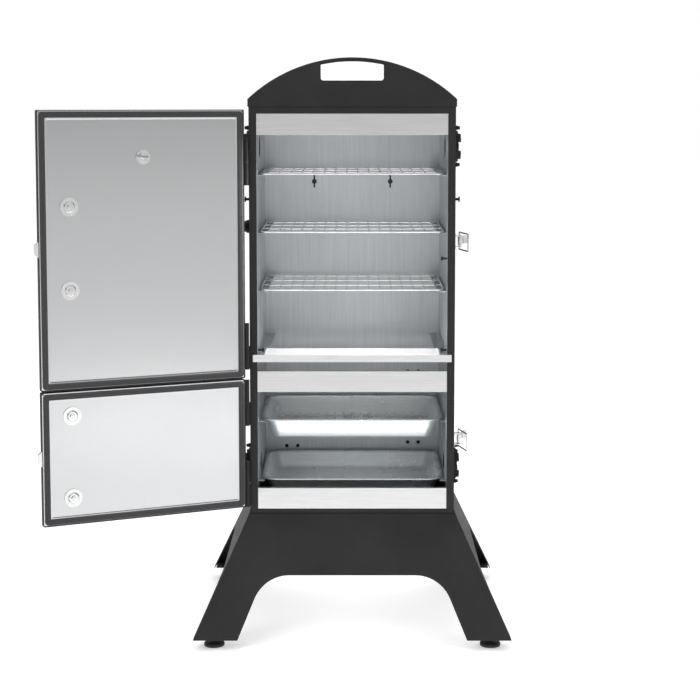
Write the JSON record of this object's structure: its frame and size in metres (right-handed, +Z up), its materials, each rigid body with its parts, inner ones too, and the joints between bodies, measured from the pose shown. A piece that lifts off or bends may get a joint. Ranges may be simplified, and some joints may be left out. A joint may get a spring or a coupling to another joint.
{
  "type": "cabinet smoker",
  "caption": "Tall free-standing cabinet smoker with two side-hung doors, slide-out racks and pans, turning air dampers and a splayed sheet-steel stand.",
  "frame": {"origin": "on the floor, under the middle of the cabinet", "axes": "+Z up, front (face frame) towards -Y, +X to the right seen from the front"},
  "size_m": [1.0204, 0.6844, 1.302],
  "materials": {
    "black_paint": "satin black heat-resistant paint",
    "black_fittings": "black coated steel",
    "liner_steel": "fine brushed stainless sheet",
    "floor_steel": "dull stainless sheet",
    "rail_steel": "satin stainless",
    "pan_steel": "pressed bright stainless",
    "wire_chrome": "bright plated wire",
    "latch_chrome": "bright plated steel",
    "hardware_steel": "satin stainless",
    "gasket_rope": "black woven gasket",
    "wool": "mineral wool board",
    "plate_white": "white enamel",
    "dial_white": "white printed dial",
    "needle_red": "red enamel",
    "lens_glass": "clear flat glass",
    "foot_rubber": "black moulded foot"
  },
  "bodies": {
    "cabinet": {"side_panels": "black_paint", "back_panel": "black_paint", "end_panels": "black_paint", "face_frame": "black_paint", "side_walls": "liner_steel", "back_wall": "liner_steel", "ceiling": "liner_steel", "chamber_floor": "floor_steel", "cabinet_insulation": "wool", "front_rails": "rail_steel", "support_rails": "liner_steel", "roof_sheet": "black_paint", "roof_fascias": "black_paint", "name_plate": "plate_white", "stand_front": "black_paint", "stand_back": "black_paint", "stand_sides": "black_paint", "foot_brackets": "black_paint", "cabinet_hinges": "black_fittings", "cabinet_fasteners": "black_fittings", "side_fittings": "black_fittings", "damper_seats": "black_fittings", "latch_bases": "latch_chrome"},
    "upper_door": {"upper_door_skin": "black_paint", "upper_door_liner": "liner_steel", "upper_door_gasket": "gasket_rope", "upper_door_insulation": "wool", "upper_door_handle": "hardware_steel", "upper_door_hardware": "hardware_steel", "upper_door_hinges": "black_fittings", "thermometer_case": "hardware_steel", "thermometer_dial": "dial_white", "thermometer_lens": "lens_glass"},
    "needle": {"thermometer_needle": "needle_red"},
    "lower_door": {"lower_door_skin": "black_paint", "lower_door_liner": "liner_steel", "lower_door_gasket": "gasket_rope", "lower_door_insulation": "wool", "lower_door_handle": "hardware_steel", "lower_door_hardware": "hardware_steel", "lower_door_hinges": "black_fittings"},
    "low_rack": {"low_rack": "wire_chrome"},
    "middle_rack": {"middle_rack": "wire_chrome"},
    "high_rack": {"high_rack": "wire_chrome"},
    "drip_shelf": {"drip_shelf": "rail_steel"},
    "fuel_pan": {"fuel_pan": "pan_steel"},
    "fuel_grate": {"fuel_grate": "wire_chrome"},
    "water_pan": {"water_pan": "pan_steel"},
    "upper_left_damper": {"upper_left_damper": "black_fittings"},
    "upper_right_damper": {"upper_right_damper": "black_fittings"},
    "lower_left_damper": {"lower_left_damper": "black_fittings"},
    "lower_right_damper": {"lower_right_damper": "black_fittings"},
    "upper_latch_lever": {"upper_latch_lever": "latch_chrome"},
    "upper_latch_bail": {"upper_latch_bail": "latch_chrome"},
    "lower_latch_lever": {"lower_latch_lever": "latch_chrome"},
    "lower_latch_bail": {"lower_latch_bail": "latch_chrome"},
    "front_left_foot": {"front_left_foot": "foot_rubber"},
    "front_right_foot": {"front_right_foot": "foot_rubber"},
    "back_left_foot": {"back_left_foot": "foot_rubber"},
    "back_right_foot": {"back_right_foot": "foot_rubber"}
  },
  "joints": [
    {"name": "upper_door_hinge", "type": "hinge", "parent": "cabinet", "child": "upper_door", "pos_m": [-0.2335, -0.2015, 0.89034], "axis": [0, 0, -1], "range_deg": [-157, 20]},
    {"name": "lower_door_hinge", "type": "hinge", "parent": "cabinet", "child": "lower_door", "pos_m": [-0.2335, -0.2015, 0.44534], "axis": [0, 0, -1], "range_deg": [-157, 20]},
    {"name": "needle_turn", "type": "hinge", "parent": "upper_door", "child": "needle", "pos_m": [-0.45852, -0.26899, 1.087], "axis": [-0.3907, 0.9205, 0], "range_deg": [-270, 0]},
    {"name": "low_rack_slide", "type": "slide", "parent": "cabinet", "child": "low_rack", "axis": [0, -1, 0], "range_m": [0, 0.28]},
    {"name": "middle_rack_slide", "type": "slide", "parent": "cabinet", "child": "middle_rack", "axis": [0, -1, 0], "range_m": [0, 0.28]},
    {"name": "high_rack_slide", "type": "slide", "parent": "cabinet", "child": "high_rack", "axis": [0, -1, 0], "range_m": [0, 0.28]},
    {"name": "drip_shelf_slide", "type": "slide", "parent": "cabinet", "child": "drip_shelf", "axis": [0, -1, 0], "range_m": [0, 0.28]},
    {"name": "fuel_pan_slide", "type": "slide", "parent": "cabinet", "child": "fuel_pan", "axis": [0, -1, 0], "range_m": [0, 0.28]},
    {"name": "fuel_grate_lift", "type": "slide", "parent": "fuel_pan", "child": "fuel_grate", "axis": [0, 0, 1], "range_m": [0, 0.05]},
    {"name": "water_pan_lift", "type": "slide", "parent": "cabinet", "child": "water_pan", "axis": [0, 0, 1], "range_m": [0, 0.08]},
    {"name": "upper_left_damper_turn", "type": "hinge", "parent": "cabinet", "child": "upper_left_damper", "pos_m": [-0.2395, -0.0625, 1.104], "axis": [-1, 0, 0], "range_deg": [0, 60]},
    {"name": "upper_right_damper_turn", "type": "hinge", "parent": "cabinet", "child": "upper_right_damper", "pos_m": [0.2395, -0.0625, 1.104], "axis": [1, 0, 0], "range_deg": [0, 60]},
    {"name": "lower_left_damper_turn", "type": "hinge", "parent": "cabinet", "child": "lower_left_damper", "pos_m": [-0.2395, -0.0625, 0.369], "axis": [-1, 0, 0], "range_deg": [0, 60]},
    {"name": "lower_right_damper_turn", "type": "hinge", "parent": "cabinet", "child": "lower_right_damper", "pos_m": [0.2395, -0.0625, 0.369], "axis": [1, 0, 0], "range_deg": [0, 60]},
    {"name": "upper_lever_turn", "type": "hinge", "parent": "cabinet", "child": "upper_latch_lever", "pos_m": [0.2405, -0.1625, 0.89484], "axis": [0, 0, -1], "range_deg": [-15, 75]},
    {"name": "upper_bail_turn", "type": "hinge", "parent": "upper_latch_lever", "child": "upper_latch_bail", "pos_m": [0.24026, -0.14794, 0.89484], "axis": [0, 0, -1], "range_deg": [-160, 32]},
    {"name": "lower_lever_turn", "type": "hinge", "parent": "cabinet", "child": "lower_latch_lever", "pos_m": [0.2405, -0.1625, 0.44784], "axis": [0, 0, -1], "range_deg": [-15, 75]},
    {"name": "lower_bail_turn", "type": "hinge", "parent": "lower_latch_lever", "child": "lower_latch_bail", "pos_m": [0.24026, -0.14794, 0.44784], "axis": [0, 0, -1], "range_deg": [-160, 32]},
    {"name": "front_left_foot_screw", "type": "slide", "parent": "cabinet", "child": "front_left_foot", "axis": [0, 0, -1], "range_m": [0, 0.015]},
    {"name": "front_right_foot_screw", "type": "slide", "parent": "cabinet", "child": "front_right_foot", "axis": [0, 0, -1], "range_m": [0, 0.015]},
    {"name": "back_left_foot_screw", "type": "slide", "parent": "cabinet", "child": "back_left_foot", "axis": [0, 0, -1], "range_m": [0, 0.015]},
    {"name": "back_right_foot_screw", "type": "slide", "parent": "cabinet", "child": "back_right_foot", "axis": [0, 0, -1], "range_m": [0, 0.015]}
  ],
  "couplings": [
    {"joint": "upper_bail_turn", "follows": "upper_lever_turn", "ratio": -2.1333},
    {"joint": "lower_bail_turn", "follows": "lower_lever_turn", "ratio": -2.1333}
  ]
}
